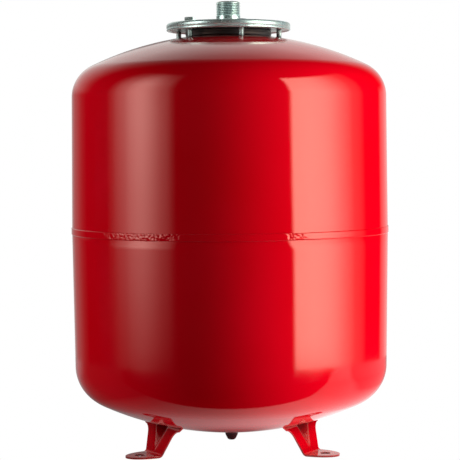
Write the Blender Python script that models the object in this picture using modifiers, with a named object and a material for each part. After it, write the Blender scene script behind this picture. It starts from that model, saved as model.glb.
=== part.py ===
"""Diaphragm expansion vessel for a heating system, 35 litres, standing on three pressed legs.

Frame: origin on the floor under the vessel's axis, +Z up, front towards -Y. Metres.
Lengths below are written in millimetres and go through mm().
"""
import math

import bmesh
import bpy
from mathutils import Matrix, Vector

GAP = 0.3                      # clearance between pieces that touch on the real object

# Vessel: two deep-drawn steel cups, joggled together and welded round the middle
SHELL_WALL = 1.5
SEAM_Z = 241.0
SEAM_R = 173.0                 # outer radius at the seam, the widest place of the steel
TOP_TANGENT_Z = 385.9
TOP_TANGENT_R = 171.7
TOP_CROWN_R = 347.0
TOP_KNUCKLE_R = 37.8
BOTTOM_TANGENT_Z = 92.6
BOTTOM_TANGENT_R = 171.2
BOTTOM_CROWN_R = 338.0
BOTTOM_KNUCKLE_R = 43.0
MOUTH_R = 40.0                 # opening in the crown for the bladder's neck
VALVE_HOLE_R = 6.3
JOGGLE_DROP = SHELL_WALL + GAP
JOGGLE_START_Z = SEAM_Z - 4.5
JOGGLE_TOP_Z = SEAM_Z + 14.0
WELD_HALF_HEIGHT = 3.8
WELD_PROUD = 1.0
SHELL_SEGMENTS = 48

# Cover flange, its bolts and the counter ring under the crown
FLANGE_R = 67.8
FLANGE_TOP_Z = 466.3
FLANGE_SHEET = 3.0
FLANGE_RIM_HEIGHT = 8.8
FLANGE_RECESS = 5.0            # the plate lies this deep inside the raised rim
FLANGE_RECESS_R = 64.0
FLANGE_PLATE_Z = FLANGE_TOP_Z - FLANGE_RECESS
FLANGE_CORNER_R = 3.3
FLANGE_RIM_ROUND = 0.8
FLANGE_RECESS_CHAMFER = 0.5
RING_INNER_R = 48.5
RING_OUTER_R = 66.0
RING_THICKNESS = 5.0
BOLT_COUNT = 6
BOLT_CIRCLE_R = 57.0
BOLT_FIRST_ANGLE = 13.9        # degrees from the front towards +X
BOLT_SHANK_R = 3.0             # M6
BOLT_HEAD_FLATS = 10.0
BOLT_HEAD_HEIGHT = 4.0
BOLT_END_Z = 438.0
BOLT_TIP_CHAMFER = 0.8
BOLT_HEAD_CHAMFER = 0.65
BOLT_TWIST = 13.5              # each bolt stopped at its own angle when it was tightened, degrees
PROUD_BOLT = 6                 # the left front bolt isn't driven home
PROUD_BOLT_LIFT = 3.2
WASHER_R = 6.1
WASHER_THICKNESS = 1.2
BOLT_HOLE_R = BOLT_SHANK_R + GAP + 0.1
BOLT_HOLE_LOW_Z = 420.0
BOLT_HOLE_HIGH_Z = 480.0

# Water connection: G 3/4 male nipple
NIPPLE_R = 13.22
NIPPLE_BORE_R = 10.2
NIPPLE_TOP_Z = 489.5
NIPPLE_BOTTOM_Z = 457.0
THREAD_PITCH = 1.814
THREAD_DEPTH = 1.16
THREAD_COUNT = 8
THREAD_TOP_Z = 487.4
NIPPLE_CHAMFER = 1.3
NIPPLE_WELD_LEG = 3.0

# Rubber bladder
BLADDER_WALL = 2.0
BLADDER_LIP_R = 47.0
BLADDER_LIP_CHAMFER = 1.0
BLADDER_BELLY_R = 95.0
BLADDER_BELLY_Z = 290.0
BLADDER_NECK_Z = 446.0

# Legs: pressed 2 mm sheet, foot pad turned outwards
LEG_ANGLES = {"leg_left": -59.0, "leg_right": 61.0, "leg_rear": 181.0}
LEG_SHEET = 2.0
BEND_RHO = 101.5               # distance of the bend from the vessel's axis
LEG_LEAN = 0.37                # inward lean for each millimetre of height
PAD_HALF_WIDTH = 18.0
PAD_LENGTH = 29.5
PAD_TIP_ANGLE = 78.0           # the pad's round end is cut flat from this angle on, degrees
PAD_HOLE_RHO = 115.0
PAD_HOLE_R = 5.6
LEG_BEND_R = 4.0
LEG_FLARE_SLOPE = 0.41
LEG_FLARE_START_Z = 21.6
LEG_FLARE_R = 8.2
LEG_FLARE_END = 8.2            # height over the flare's start where it is fully turned out
LEG_TIP_SLOPE = 0.8            # widening of the tips over the flare, on each side
LEG_ROW_HEIGHTS = (9.0, 15.0, 21.6, 25.1, 27.6, 29.0, 29.8, 33.0, 40.0)
GROOVE_SLOPE = 0.46            # half-width of the pressed groove for each millimetre of height
GROOVE_DEPTH_RATIO = 0.62
GROOVE_START = 0.5             # half-width of the groove's crease at the foot
GROOVE_APEX_Z = 4.0

# Air valve in the middle of the bottom
BOSS_R = 6.0
BOSS_COLLAR_R = 7.3
BOSS_BORE_R = 4.4
BOSS_BOTTOM_Z = 17.5
BOSS_COLLAR_TOP_Z = 20.2
BOSS_TOP_Z = 26.4
STEM_R = 3.85
STEM_BODY_R = 4.1
STEM_SEAT_R = 1.9
STEM_SEAT_HEIGHT = 0.8
STEM_BORE_R = 2.65
STEM_END_Z = 10.8
STEM_TOP_Z = 28.4
CORE_R = 2.35
CORE_BORE_R = 1.75
CORE_END_Z = 12.6
CORE_TOP_Z = 23.6
CORE_LIP = 0.8
PIN_R = 0.6
PIN_TIP_Z = 11.3
PIN_TOP_Z = 25.8
PIN_COLLAR_Z = 14.4
PIN_COLLAR_R = 1.4
PIN_COLLAR_HEIGHT = 0.5
PIN_HEAD_R = 1.6
PIN_HEAD_HEIGHT = 0.8
PIN_SEAL_R = 1.9
PIN_HOLE_R = PIN_R + GAP + 0.1
SPRING_TURNS = 5
SPRING_COIL_R = 1.25
SPRING_WIRE_R = 0.2
CAP_TOP_Z = 17.0
CAP_TIP_Z = 7.6
CAP_SIDE = ((7.0, 17.0), (7.4, 16.5), (7.1, 14.4), (6.3, 12.2), (5.1, 9.8), (4.2, 8.4), (3.0, 7.7))
CAP_TIP_R = 1.4
CAP_BORE_R = 4.15
CAP_BORE_END_Z = 9.5


def mm(value):
    return value / 1000.0


def arc(centre_r, centre_z, radius, start, end, steps):
    """Points of an arc in the (r, z) half-plane, both ends included, angles in degrees from +r."""
    points = []
    for step in range(steps + 1):
        angle = math.radians(start + (end - start) * step / steps)
        points.append((centre_r + radius * math.cos(angle), centre_z + radius * math.sin(angle)))
    return points


def clear_scene():
    for obj in list(bpy.data.objects):
        bpy.data.objects.remove(obj, do_unlink=True)


def new_collection(name):
    collection = bpy.data.collections.new(name)
    bpy.context.scene.collection.children.link(collection)
    return collection


def add_object(name, mesh, collection):
    obj = bpy.data.objects.new(name, mesh)
    collection.objects.link(obj)
    return obj


def give_material(obj, colour, roughness, metallic):
    material = bpy.data.materials.new(obj.name)
    material.use_nodes = True
    shader = material.node_tree.nodes["Principled BSDF"]
    shader.inputs["Base Color"].default_value = (*colour, 1.0)
    shader.inputs["Roughness"].default_value = roughness
    shader.inputs["Metallic"].default_value = metallic
    obj.data.materials.append(material)


def red_paint(obj):
    give_material(obj, (0.62, 0.0, 0.012), 0.15, 0.0)


def zinc(obj):
    give_material(obj, (0.55, 0.58, 0.57), 0.35, 1.0)


def brass(obj):
    give_material(obj, (0.72, 0.52, 0.2), 0.3, 1.0)


def rubber(obj):
    give_material(obj, (0.02, 0.02, 0.02), 0.7, 0.0)


def profile_mesh(name, points, closed):
    """A line of (r, z) points in the XZ plane."""
    work = bmesh.new()
    verts = [work.verts.new((mm(r), 0.0, mm(z))) for r, z in points]
    for first, second in zip(verts, verts[1:]):
        work.edges.new((first, second))
    if closed:
        work.edges.new((verts[-1], verts[0]))
    mesh = bpy.data.meshes.new(name)
    work.to_mesh(mesh)
    work.free()
    return mesh


def add_screw(obj, segments):
    screw = obj.modifiers.new("turn", "SCREW")
    screw.axis = "Z"
    screw.angle = math.tau
    screw.steps = segments
    screw.render_steps = segments
    screw.use_merge_vertices = True
    screw.merge_threshold = 0.00001
    screw.use_smooth_shade = True


def turned(name, points, segments, collection):
    """A solid of revolution from a closed profile that runs down its outer side."""
    obj = add_object(name, profile_mesh(name, points, True), collection)
    add_screw(obj, segments)
    return obj


def turned_sheet(name, points, thickness, segments, collection):
    """A turned sheet-metal cup: the profile is its outer face, the sheet lies inside it."""
    obj = add_object(name, profile_mesh(name, points, False), collection)
    add_screw(obj, segments)
    solid = obj.modifiers.new("sheet", "SOLIDIFY")
    solid.thickness = mm(thickness)
    solid.offset = -1.0
    solid.use_even_offset = True
    return obj


def cut(obj, cutter):
    boolean = obj.modifiers.new("cut_" + cutter.name, "BOOLEAN")
    boolean.operation = "DIFFERENCE"
    boolean.solver = "EXACT"
    boolean.object = cutter


def hide_cutter(obj):
    obj.hide_render = True
    obj.display_type = "WIRE"


def crown_z(r, drop=0.0):
    """Height of the upper crown's outer face at radius r, or of a face that lies drop under it."""
    crown_centre_z = TOP_CROWN_TOP_Z - TOP_CROWN_R
    return crown_centre_z + math.sqrt((TOP_CROWN_R - drop) ** 2 - r * r)


def head(tangent_r, crown_r, knuckle_r, crown_end_r):
    """A dished head as (r, height over the tangent line) points, crown first."""
    knuckle_centre = tangent_r - knuckle_r
    rise = math.sqrt((crown_r - knuckle_r) ** 2 - knuckle_centre ** 2)
    join = math.degrees(math.atan2(rise, knuckle_centre))
    start = math.degrees(math.acos(crown_end_r / crown_r))
    crown = arc(0.0, -rise, crown_r, start, join, 8)
    knuckle = arc(knuckle_centre, 0.0, knuckle_r, join, 0.0, 6)
    return crown + knuckle[1:], crown_r - rise


TOP_HEAD, TOP_HEAD_RISE = head(TOP_TANGENT_R, TOP_CROWN_R, TOP_KNUCKLE_R, MOUTH_R)
TOP_CROWN_TOP_Z = TOP_TANGENT_Z + TOP_HEAD_RISE
BOTTOM_HEAD, BOTTOM_HEAD_RISE = head(BOTTOM_TANGENT_R, BOTTOM_CROWN_R, BOTTOM_KNUCKLE_R, VALVE_HOLE_R)
BOTTOM_Z = BOTTOM_TANGENT_Z - BOTTOM_HEAD_RISE


def make_bolt_hole_cutter(cutters):
    """Six round cutters, one for each flange bolt, long enough for flange, crown and ring."""
    work = bmesh.new()
    middle_z = (BOLT_HOLE_LOW_Z + BOLT_HOLE_HIGH_Z) / 2
    for place in bolt_places():
        at = Matrix.Translation(Vector((place.x, place.y, mm(middle_z))))
        bmesh.ops.create_cone(work, cap_ends=True, segments=12, radius1=mm(BOLT_HOLE_R),
                              radius2=mm(BOLT_HOLE_R), depth=mm(BOLT_HOLE_HIGH_Z - BOLT_HOLE_LOW_Z),
                              matrix=at)
    mesh = bpy.data.meshes.new("bolt_holes")
    work.to_mesh(mesh)
    work.free()
    cutter = add_object("bolt_holes", mesh, cutters)
    hide_cutter(cutter)
    return cutter


def bolt_places():
    """Centres of the flange bolts at floor height, in metres."""
    places = []
    radius = mm(BOLT_CIRCLE_R)
    for index in range(BOLT_COUNT):
        angle = math.radians(BOLT_FIRST_ANGLE + index * 360.0 / BOLT_COUNT)
        places.append(Vector((radius * math.sin(angle), -radius * math.cos(angle), 0.0)))
    return places


def make_shells(parts, bolt_holes):
    upper_profile = [(r, TOP_TANGENT_Z + height) for r, height in TOP_HEAD]
    upper_profile.append((SEAM_R, SEAM_Z))
    upper = turned_sheet("upper_shell", upper_profile, SHELL_WALL, SHELL_SEGMENTS, parts)
    cut(upper, bolt_holes)

    inside_r = SEAM_R - JOGGLE_DROP
    lower_profile = [(inside_r, JOGGLE_TOP_Z), (inside_r, SEAM_Z - GAP), (SEAM_R, JOGGLE_START_Z)]
    lower_profile += [(r, BOTTOM_TANGENT_Z - height) for r, height in reversed(BOTTOM_HEAD)]
    lower = turned_sheet("lower_shell", lower_profile, SHELL_WALL, SHELL_SEGMENTS, parts)

    inner = SEAM_R + GAP
    bead = [(inner, SEAM_Z + WELD_HALF_HEIGHT)]
    for step in range(1, 6):
        angle = math.pi * step / 6
        bulge = (WELD_PROUD - GAP) * math.sin(angle)
        bead.append((inner + bulge, SEAM_Z + WELD_HALF_HEIGHT * math.cos(angle)))
    bead.append((inner, SEAM_Z - WELD_HALF_HEIGHT))
    weld = turned("seam_weld", bead, SHELL_SEGMENTS, parts)
    for piece in (upper, lower, weld):
        red_paint(piece)


def make_counter_ring(parts, bolt_holes):
    top = [(r, crown_z(r, SHELL_WALL + GAP)) for r in (RING_INNER_R, BOLT_CIRCLE_R, RING_OUTER_R)]
    bottom = [(r, z - RING_THICKNESS) for r, z in reversed(top)]
    ring = turned("counter_ring", top + bottom, 32, parts)
    cut(ring, bolt_holes)
    zinc(ring)


def make_cover_flange(parts, bolt_holes):
    """Pressed disc whose rim stands up round the bolts' heads and is turned down over the plate's edge."""
    corner_r = FLANGE_R - FLANGE_CORNER_R
    corner_z = FLANGE_TOP_Z - FLANGE_CORNER_R
    rim_z = FLANGE_TOP_Z - FLANGE_RIM_HEIGHT
    plate_bottom = FLANGE_PLATE_Z - FLANGE_SHEET
    hole_r = NIPPLE_R + GAP
    outside = [(hole_r, FLANGE_PLATE_Z)]
    outside.append((FLANGE_RECESS_R - FLANGE_RECESS_CHAMFER, FLANGE_PLATE_Z))
    outside.append((FLANGE_RECESS_R, FLANGE_PLATE_Z + FLANGE_RECESS_CHAMFER))
    outside.append((FLANGE_RECESS_R, FLANGE_TOP_Z - (corner_r - FLANGE_RECESS_R)))
    outside += arc(corner_r, corner_z, FLANGE_CORNER_R, 90, 0, 4)
    outside.append((FLANGE_R - FLANGE_RIM_ROUND / 2, rim_z + FLANGE_RIM_ROUND))
    outside.append((FLANGE_R - 1.5 * FLANGE_RIM_ROUND, rim_z))
    inside = [(FLANGE_R - FLANGE_SHEET, rim_z + FLANGE_RIM_ROUND / 2)]
    inside.append((FLANGE_R - FLANGE_SHEET - FLANGE_RIM_ROUND, plate_bottom))
    inside.append((hole_r, plate_bottom))
    flange = turned("cover_flange", outside + inside, 48, parts)
    cut(flange, bolt_holes)
    zinc(flange)


def make_nipple(parts):
    profile = [(NIPPLE_R - NIPPLE_CHAMFER, NIPPLE_TOP_Z), (NIPPLE_R, NIPPLE_TOP_Z - NIPPLE_CHAMFER)]
    for turn in range(THREAD_COUNT):
        crest_z = THREAD_TOP_Z - turn * THREAD_PITCH
        profile.append((NIPPLE_R, crest_z))
        profile.append((NIPPLE_R - THREAD_DEPTH, crest_z - THREAD_PITCH / 2))
    plain_z = THREAD_TOP_Z - THREAD_COUNT * THREAD_PITCH
    profile += [(NIPPLE_R, plain_z), (NIPPLE_R, NIPPLE_BOTTOM_Z)]
    profile += [(NIPPLE_BORE_R, NIPPLE_BOTTOM_Z), (NIPPLE_BORE_R, NIPPLE_TOP_Z)]
    nipple = turned("nipple", profile, 24, parts)
    zinc(nipple)

    inner = NIPPLE_R + GAP
    base = FLANGE_PLATE_Z + GAP
    fillet = []
    for step in range(4):
        angle = math.radians(90.0 * step / 3)
        fillet.append((inner + NIPPLE_WELD_LEG * math.sin(angle), base + NIPPLE_WELD_LEG * math.cos(angle)))
    fillet.append((inner, base))
    weld = turned("nipple_weld", fillet, 24, parts)
    zinc(weld)


def bladder_r(z, wall):
    """Radius of the bladder's belly at height z, for the skin that lies wall inside the outer one."""
    neck_r = MOUTH_R - GAP - wall
    belly_r = BLADDER_BELLY_R - wall
    if z < BLADDER_BELLY_Z:
        return math.sqrt(max(belly_r ** 2 - (BLADDER_BELLY_Z - z) ** 2, 0.0))
    share = (BLADDER_NECK_Z - z) / (BLADDER_NECK_Z - BLADDER_BELLY_Z)
    return neck_r + (belly_r - neck_r) * share * share * (3.0 - 2.0 * share)


def bladder_skin(wall):
    """The belly from the neck down to the axis."""
    skin = []
    for step in range(7):
        z = BLADDER_NECK_Z + (BLADDER_BELLY_Z - BLADDER_NECK_Z) * step / 6
        skin.append((bladder_r(z, wall), z))
    belly_r = BLADDER_BELLY_R - wall
    skin += arc(0.0, BLADDER_BELLY_Z, belly_r, 0, -90, 6)[1:-1]
    skin.append((0.0, BLADDER_BELLY_Z - belly_r))
    return skin


def make_bladder(parts):
    neck_r = MOUTH_R - GAP
    lip_top = FLANGE_PLATE_Z - FLANGE_SHEET - GAP
    lip_bottom = crown_z(MOUTH_R) + GAP
    middle = (lip_top + lip_bottom) / 2
    edge_r = BLADDER_LIP_R - BLADDER_LIP_CHAMFER
    outside = [(edge_r, lip_top), (BLADDER_LIP_R, middle), (edge_r, lip_bottom), (neck_r, lip_bottom)]
    inside_top = (neck_r - BLADDER_WALL, lip_top)
    profile = outside + bladder_skin(0.0) + list(reversed(bladder_skin(BLADDER_WALL))) + [inside_top]
    bladder = turned("bladder", profile, 24, parts)
    rubber(bladder)


def make_bolts(parts):
    """Six M6 hexagon bolts, each over its plain washer."""
    washer_z = FLANGE_PLATE_Z + GAP
    head_z = washer_z + WASHER_THICKNESS + GAP
    head_r = BOLT_HEAD_FLATS / 2 / math.cos(math.pi / 6)
    top = head_z + BOLT_HEAD_HEIGHT
    bolt_profile = [(0.0, top), (head_r - BOLT_HEAD_CHAMFER, top), (head_r, top - BOLT_HEAD_CHAMFER)]
    bolt_profile += [(head_r, head_z), (BOLT_SHANK_R, head_z), (BOLT_SHANK_R, BOLT_END_Z + BOLT_TIP_CHAMFER)]
    bolt_profile += [(BOLT_SHANK_R - BOLT_TIP_CHAMFER, BOLT_END_Z), (0.0, BOLT_END_Z)]
    hole_r = BOLT_SHANK_R + GAP
    washer_profile = [(WASHER_R, washer_z + WASHER_THICKNESS), (WASHER_R, washer_z)]
    washer_profile += [(hole_r, washer_z), (hole_r, washer_z + WASHER_THICKNESS)]
    for index, place in enumerate(bolt_places(), start=1):
        turn = math.radians(BOLT_FIRST_ANGLE + BOLT_TWIST * index)
        bolt = turned("flange_bolt_%d" % index, bolt_profile, 6, parts)
        washer = turned("flange_washer_%d" % index, washer_profile, 12, parts)
        lift = mm(PROUD_BOLT_LIFT) if index == PROUD_BOLT else 0.0
        bolt.location = place + Vector((0.0, 0.0, lift))
        bolt.rotation_euler = (0.0, 0.0, turn)
        washer.location = place
        zinc(bolt)
        zinc(washer)


def leg_half_width(z):
    """Half of the leg's width at height z: straight near the foot, flaring in an arc to the vessel."""
    width = PAD_HALF_WIDTH + LEG_FLARE_SLOPE * max(z - GROOVE_APEX_Z, 0.0)
    above = min(max(z - LEG_FLARE_START_Z, 0.0), LEG_FLARE_END)
    tip = LEG_TIP_SLOPE * max(z - LEG_FLARE_START_Z - LEG_FLARE_END, 0.0)
    return width + tip + LEG_FLARE_R - math.sqrt(max(LEG_FLARE_R ** 2 - above ** 2, 0.0))


def leg_rows():
    """Rows across the sheet's outer face from the foot's tip up: (rho, z, half width, groove half width)."""
    rows = []
    for step in range(6):
        angle = math.radians(PAD_TIP_ANGLE * (1.0 - step / 5.0))
        rho = BEND_RHO + PAD_LENGTH * math.sin(angle)
        rows.append((rho, LEG_SHEET, PAD_HALF_WIDTH * math.cos(angle), GROOVE_START))
    lean = math.atan(LEG_LEAN)
    turn = math.pi / 2 - lean
    for step in range(1, 4):
        angle = turn * step / 3
        rho = BEND_RHO - LEG_BEND_R * math.sin(angle)
        z = LEG_SHEET + LEG_BEND_R * (1.0 - math.cos(angle))
        rows.append((rho, z, leg_half_width(z), GROOVE_START))
    start_rho, start_z = rows[-1][0], rows[-1][1]
    for z in LEG_ROW_HEIGHTS:
        rho = start_rho - (z - start_z) * LEG_LEAN
        rows.append((rho, z, leg_half_width(z), GROOVE_START + GROOVE_SLOPE * (z - GROOVE_APEX_Z)))
    return rows


def leg_mesh(name):
    """The leg's outer face as a grid, in a frame where +X points away from the vessel's axis."""
    work = bmesh.new()
    lean = math.atan(LEG_LEAN)
    grid = []
    for rho, z, half, groove in leg_rows():
        depth = GROOVE_DEPTH_RATIO * (groove - GROOVE_START)
        lowest = Vector((-depth * math.cos(lean), 0.0, -depth * math.sin(lean)))
        between = (half + groove) / 2
        row = []
        for side in (-half, -between, -groove, 0.0, groove, between, half):
            point = Vector((rho, side, z))
            if side == 0.0:
                point += lowest
            row.append(work.verts.new(point / 1000.0))
        grid.append(row)
    for lower, upper in zip(grid, grid[1:]):
        for column in range(len(lower) - 1):
            work.faces.new((lower[column], lower[column + 1], upper[column + 1], upper[column]))
    mesh = bpy.data.meshes.new(name)
    work.to_mesh(mesh)
    work.free()
    return mesh


def make_legs(parts, cutters):
    bpy.ops.mesh.primitive_uv_sphere_add(segments=96, ring_count=96, radius=mm(BOTTOM_CROWN_R + GAP),
                                         location=(0.0, 0.0, mm(BOTTOM_Z + BOTTOM_CROWN_R)))
    dome = bpy.context.object
    dome.name = "bottom_crown_cutter"
    move_to(dome, cutters)
    hide_cutter(dome)
    for name, angle in LEG_ANGLES.items():
        spin = math.radians(angle - 90.0)
        hole = add_pad_hole(name, spin, cutters)
        leg = add_object(name, leg_mesh(name), parts)
        leg.rotation_euler = (0.0, 0.0, spin)
        sheet = leg.modifiers.new("sheet", "SOLIDIFY")
        sheet.thickness = mm(LEG_SHEET)
        sheet.offset = -1.0
        sheet.use_even_offset = True
        cut(leg, hole)
        cut(leg, dome)
        red_paint(leg)


def move_to(obj, collection):
    for owner in list(obj.users_collection):
        owner.objects.unlink(obj)
    collection.objects.link(obj)


def add_pad_hole(name, spin, cutters):
    """A round cutter through one foot pad."""
    place = Matrix.Rotation(spin, 4, "Z") @ Vector((mm(PAD_HOLE_RHO), 0.0, 0.0))
    bpy.ops.mesh.primitive_cylinder_add(vertices=16, radius=mm(PAD_HOLE_R), depth=mm(12.0), location=place)
    hole = bpy.context.object
    hole.name = name + "_hole"
    move_to(hole, cutters)
    hide_cutter(hole)
    return hole


def make_valve(parts):
    boss_profile = [(BOSS_R, BOSS_TOP_Z), (BOSS_R, BOSS_COLLAR_TOP_Z)]
    boss_profile.append((BOSS_COLLAR_R, BOSS_COLLAR_TOP_Z - GAP))
    boss_profile += [(BOSS_COLLAR_R, BOSS_BOTTOM_Z), (BOSS_BORE_R, BOSS_BOTTOM_Z), (BOSS_BORE_R, BOSS_TOP_Z)]
    boss = turned("valve_boss", boss_profile, 24, parts)
    zinc(boss)

    shoulder_z = CAP_TOP_Z + 0.5
    seat_z = STEM_TOP_Z - STEM_SEAT_HEIGHT
    stem_profile = [(STEM_BODY_R, STEM_TOP_Z), (STEM_BODY_R, shoulder_z), (STEM_R, shoulder_z - 0.4)]
    stem_profile += [(STEM_R, STEM_END_Z), (STEM_BORE_R, STEM_END_Z), (STEM_BORE_R, seat_z - 0.2)]
    stem_profile += [(STEM_SEAT_R, seat_z), (STEM_SEAT_R, STEM_TOP_Z)]
    stem = turned("valve_stem", stem_profile, 16, parts)
    brass(stem)

    core_profile = [(CORE_R, CORE_TOP_Z), (CORE_R, CORE_END_Z), (PIN_HOLE_R, CORE_END_Z)]
    core_profile += [(PIN_HOLE_R, CORE_END_Z + CORE_LIP), (CORE_BORE_R, CORE_END_Z + CORE_LIP)]
    core_profile += [(CORE_BORE_R, CORE_TOP_Z - CORE_LIP), (PIN_HOLE_R, CORE_TOP_Z - CORE_LIP)]
    core_profile.append((PIN_HOLE_R, CORE_TOP_Z))
    core = turned("valve_core", core_profile, 16, parts)
    brass(core)

    head_z = PIN_TOP_Z - PIN_HEAD_HEIGHT
    collar_top = PIN_COLLAR_Z + PIN_COLLAR_HEIGHT
    pin_profile = [(0.0, PIN_TOP_Z), (PIN_HEAD_R, PIN_TOP_Z), (PIN_HEAD_R, head_z), (PIN_R, head_z)]
    pin_profile += [(PIN_R, collar_top), (PIN_COLLAR_R, collar_top), (PIN_COLLAR_R, PIN_COLLAR_Z)]
    pin_profile += [(PIN_R, PIN_COLLAR_Z), (PIN_R, PIN_TIP_Z), (0.0, PIN_TIP_Z)]
    pin = turned("valve_pin", pin_profile, 12, parts)
    brass(pin)

    seal_low = CORE_TOP_Z + GAP
    seal_high = head_z - GAP
    seal_profile = [(PIN_SEAL_R, seal_high), (PIN_SEAL_R, seal_low), (PIN_HOLE_R, seal_low)]
    seal_profile.append((PIN_HOLE_R, seal_high))
    seal = turned("pin_seal", seal_profile, 12, parts)
    rubber(seal)

    make_spring(parts)


def make_spring(parts):
    """The pin's return spring, from the pin's collar up to the top of the core."""
    low = PIN_COLLAR_Z + PIN_COLLAR_HEIGHT + GAP + SPRING_WIRE_R
    high = CORE_TOP_Z - CORE_LIP - GAP - SPRING_WIRE_R
    curve = bpy.data.curves.new("valve_spring", "CURVE")
    curve.dimensions = "3D"
    curve.bevel_depth = mm(SPRING_WIRE_R)
    curve.bevel_resolution = 1
    curve.use_fill_caps = True
    per_turn = 10
    count = SPRING_TURNS * per_turn + 1
    spline = curve.splines.new("POLY")
    spline.points.add(count - 1)
    for index in range(count):
        angle = math.tau * index / per_turn
        z = low + (high - low) * index / (count - 1)
        place = (mm(SPRING_COIL_R) * math.cos(angle), mm(SPRING_COIL_R) * math.sin(angle), mm(z), 1.0)
        spline.points[index].co = place
    spring = add_object("valve_spring", curve, parts)
    give_material(spring, (0.6, 0.6, 0.6), 0.3, 1.0)


def make_cap(parts):
    """The dust cap is a blunt cone, screwed over the stem on a rubber seal."""
    seal_low = CAP_BORE_END_Z + GAP
    seal_high = STEM_END_Z - GAP
    seal_outer = CAP_BORE_R - GAP
    seal_profile = [(seal_outer, seal_high), (seal_outer, seal_low), (1.5, seal_low), (1.5, seal_high)]
    seal = turned("cap_seal", seal_profile, 16, parts)
    rubber(seal)

    outside = list(CAP_SIDE) + [(CAP_TIP_R, CAP_TIP_Z), (0.0, CAP_TIP_Z)]
    inside = [(0.0, CAP_BORE_END_Z), (CAP_BORE_R, CAP_BORE_END_Z), (CAP_BORE_R, CAP_TOP_Z)]
    cap = turned("valve_cap", outside + inside, 24, parts)
    give_material(cap, (0.03, 0.012, 0.012), 0.4, 0.0)


def main():
    clear_scene()
    parts = new_collection("expansion_vessel")
    cutters = new_collection("cutters")
    bolt_holes = make_bolt_hole_cutter(cutters)
    make_shells(parts, bolt_holes)
    make_counter_ring(parts, bolt_holes)
    make_cover_flange(parts, bolt_holes)
    make_nipple(parts)
    make_bladder(parts)
    make_bolts(parts)
    make_legs(parts, cutters)
    make_valve(parts)
    make_cap(parts)


main()
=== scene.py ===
"""Looks of the expansion vessel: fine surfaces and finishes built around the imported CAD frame.

Axes and origin are the frame's: +Z up, front towards -Y, the floor at z = 0, metres.
Small lengths are written in millimetres times MM.
"""
import math

import bmesh
import bpy
from mathutils import Matrix, Vector, noise


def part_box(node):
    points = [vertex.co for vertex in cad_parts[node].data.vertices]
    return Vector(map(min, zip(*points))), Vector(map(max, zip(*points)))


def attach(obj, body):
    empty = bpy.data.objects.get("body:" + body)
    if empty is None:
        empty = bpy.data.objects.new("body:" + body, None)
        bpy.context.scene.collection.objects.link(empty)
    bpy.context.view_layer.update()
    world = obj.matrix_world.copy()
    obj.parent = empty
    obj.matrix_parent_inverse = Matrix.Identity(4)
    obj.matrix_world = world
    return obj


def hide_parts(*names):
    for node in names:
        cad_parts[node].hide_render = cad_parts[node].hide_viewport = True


MM = 0.001

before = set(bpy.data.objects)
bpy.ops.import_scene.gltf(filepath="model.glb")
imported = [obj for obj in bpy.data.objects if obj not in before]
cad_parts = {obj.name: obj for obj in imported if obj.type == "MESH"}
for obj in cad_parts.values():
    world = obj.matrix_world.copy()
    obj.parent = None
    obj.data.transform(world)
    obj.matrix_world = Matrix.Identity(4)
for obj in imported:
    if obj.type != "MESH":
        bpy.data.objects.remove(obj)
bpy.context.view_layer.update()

# Vessel: the two heads' radii repeat the CAD model's
SHELL_WALL = 1.5 * MM
TOP_CROWN_R = 347.0 * MM
TOP_KNUCKLE_R = 37.8 * MM
TOP_TANGENT_R = 171.7 * MM
TOP_TANGENT_Z = 385.9 * MM
BOTTOM_CROWN_R = 338.0 * MM
BOTTOM_KNUCKLE_R = 43.0 * MM
BOTTOM_TANGENT_R = 171.2 * MM
BOTTOM_TANGENT_Z = 92.6 * MM
MOUTH_R = 40.0 * MM
VALVE_HOLE_R = 6.3 * MM
BODY_SEGMENTS = 256

# Legs, in a frame whose +X points away from the vessel's axis
LEG_ANGLES = {"left": -59.0, "right": 61.0, "rear": 181.0}
LEG_SHEET = 2.0 * MM
LEG_BEND_RHO = 101.5 * MM
LEG_BEND_R = 4.0 * MM
LEG_LEAN = 0.37
PAD_HALF_WIDTH = 18.0 * MM
PAD_LENGTH = 29.5 * MM
PAD_HOLE_RHO = 115.0 * MM
PAD_HOLE_R = 5.6 * MM
LEG_FLARE_SLOPE = 0.41
LEG_FLARE_START_Z = 21.6 * MM
LEG_FLARE_R = 8.2 * MM
LEG_FLARE_END = 8.2 * MM
LEG_TIP_SLOPE = 0.8
GROOVE_APEX_Z = 4.0 * MM
GROOVE_SLOPE = 0.46
GROOVE_DEPTH_RATIO = 0.62
FOLD_SOFTNESS = 1.0 * MM

# Threads
NIPPLE_THREAD_PITCH = 1.814 * MM
NIPPLE_THREAD_DEPTH = 1.16 * MM
BOLT_THREAD_PITCH = 1.0 * MM
BOLT_THREAD_DEPTH = 0.55 * MM
STEM_THREAD_PITCH = 0.79375 * MM
STEM_THREAD_DEPTH = 0.45 * MM

# Fasteners
SHANK_R = 3.0 * MM
HEX_FLATS = 10.0 * MM
WASHER_HOLE_R = 3.3 * MM
BOLT_TURN_OFFSET = 13.9
BOLT_TURN_STEP = 13.5

# Camera, its angles in radians
CAMERA_PLACE = Vector((0.0, -1.782, 0.333))
CAMERA_DOWN = 0.0522
CAMERA_ROLL = -0.008
CAMERA_LENS = 126.8


# ---------------------------------------------------------------- meshes

def arc(centre_r, centre_z, radius, start, end, steps):
    """Points of an arc in the (r, z) half-plane, both ends included, angles in degrees from +r."""
    points = []
    for step in range(steps + 1):
        angle = math.radians(start + (end - start) * step / steps)
        points.append((centre_r + radius * math.cos(angle), centre_z + radius * math.sin(angle)))
    return points


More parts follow.
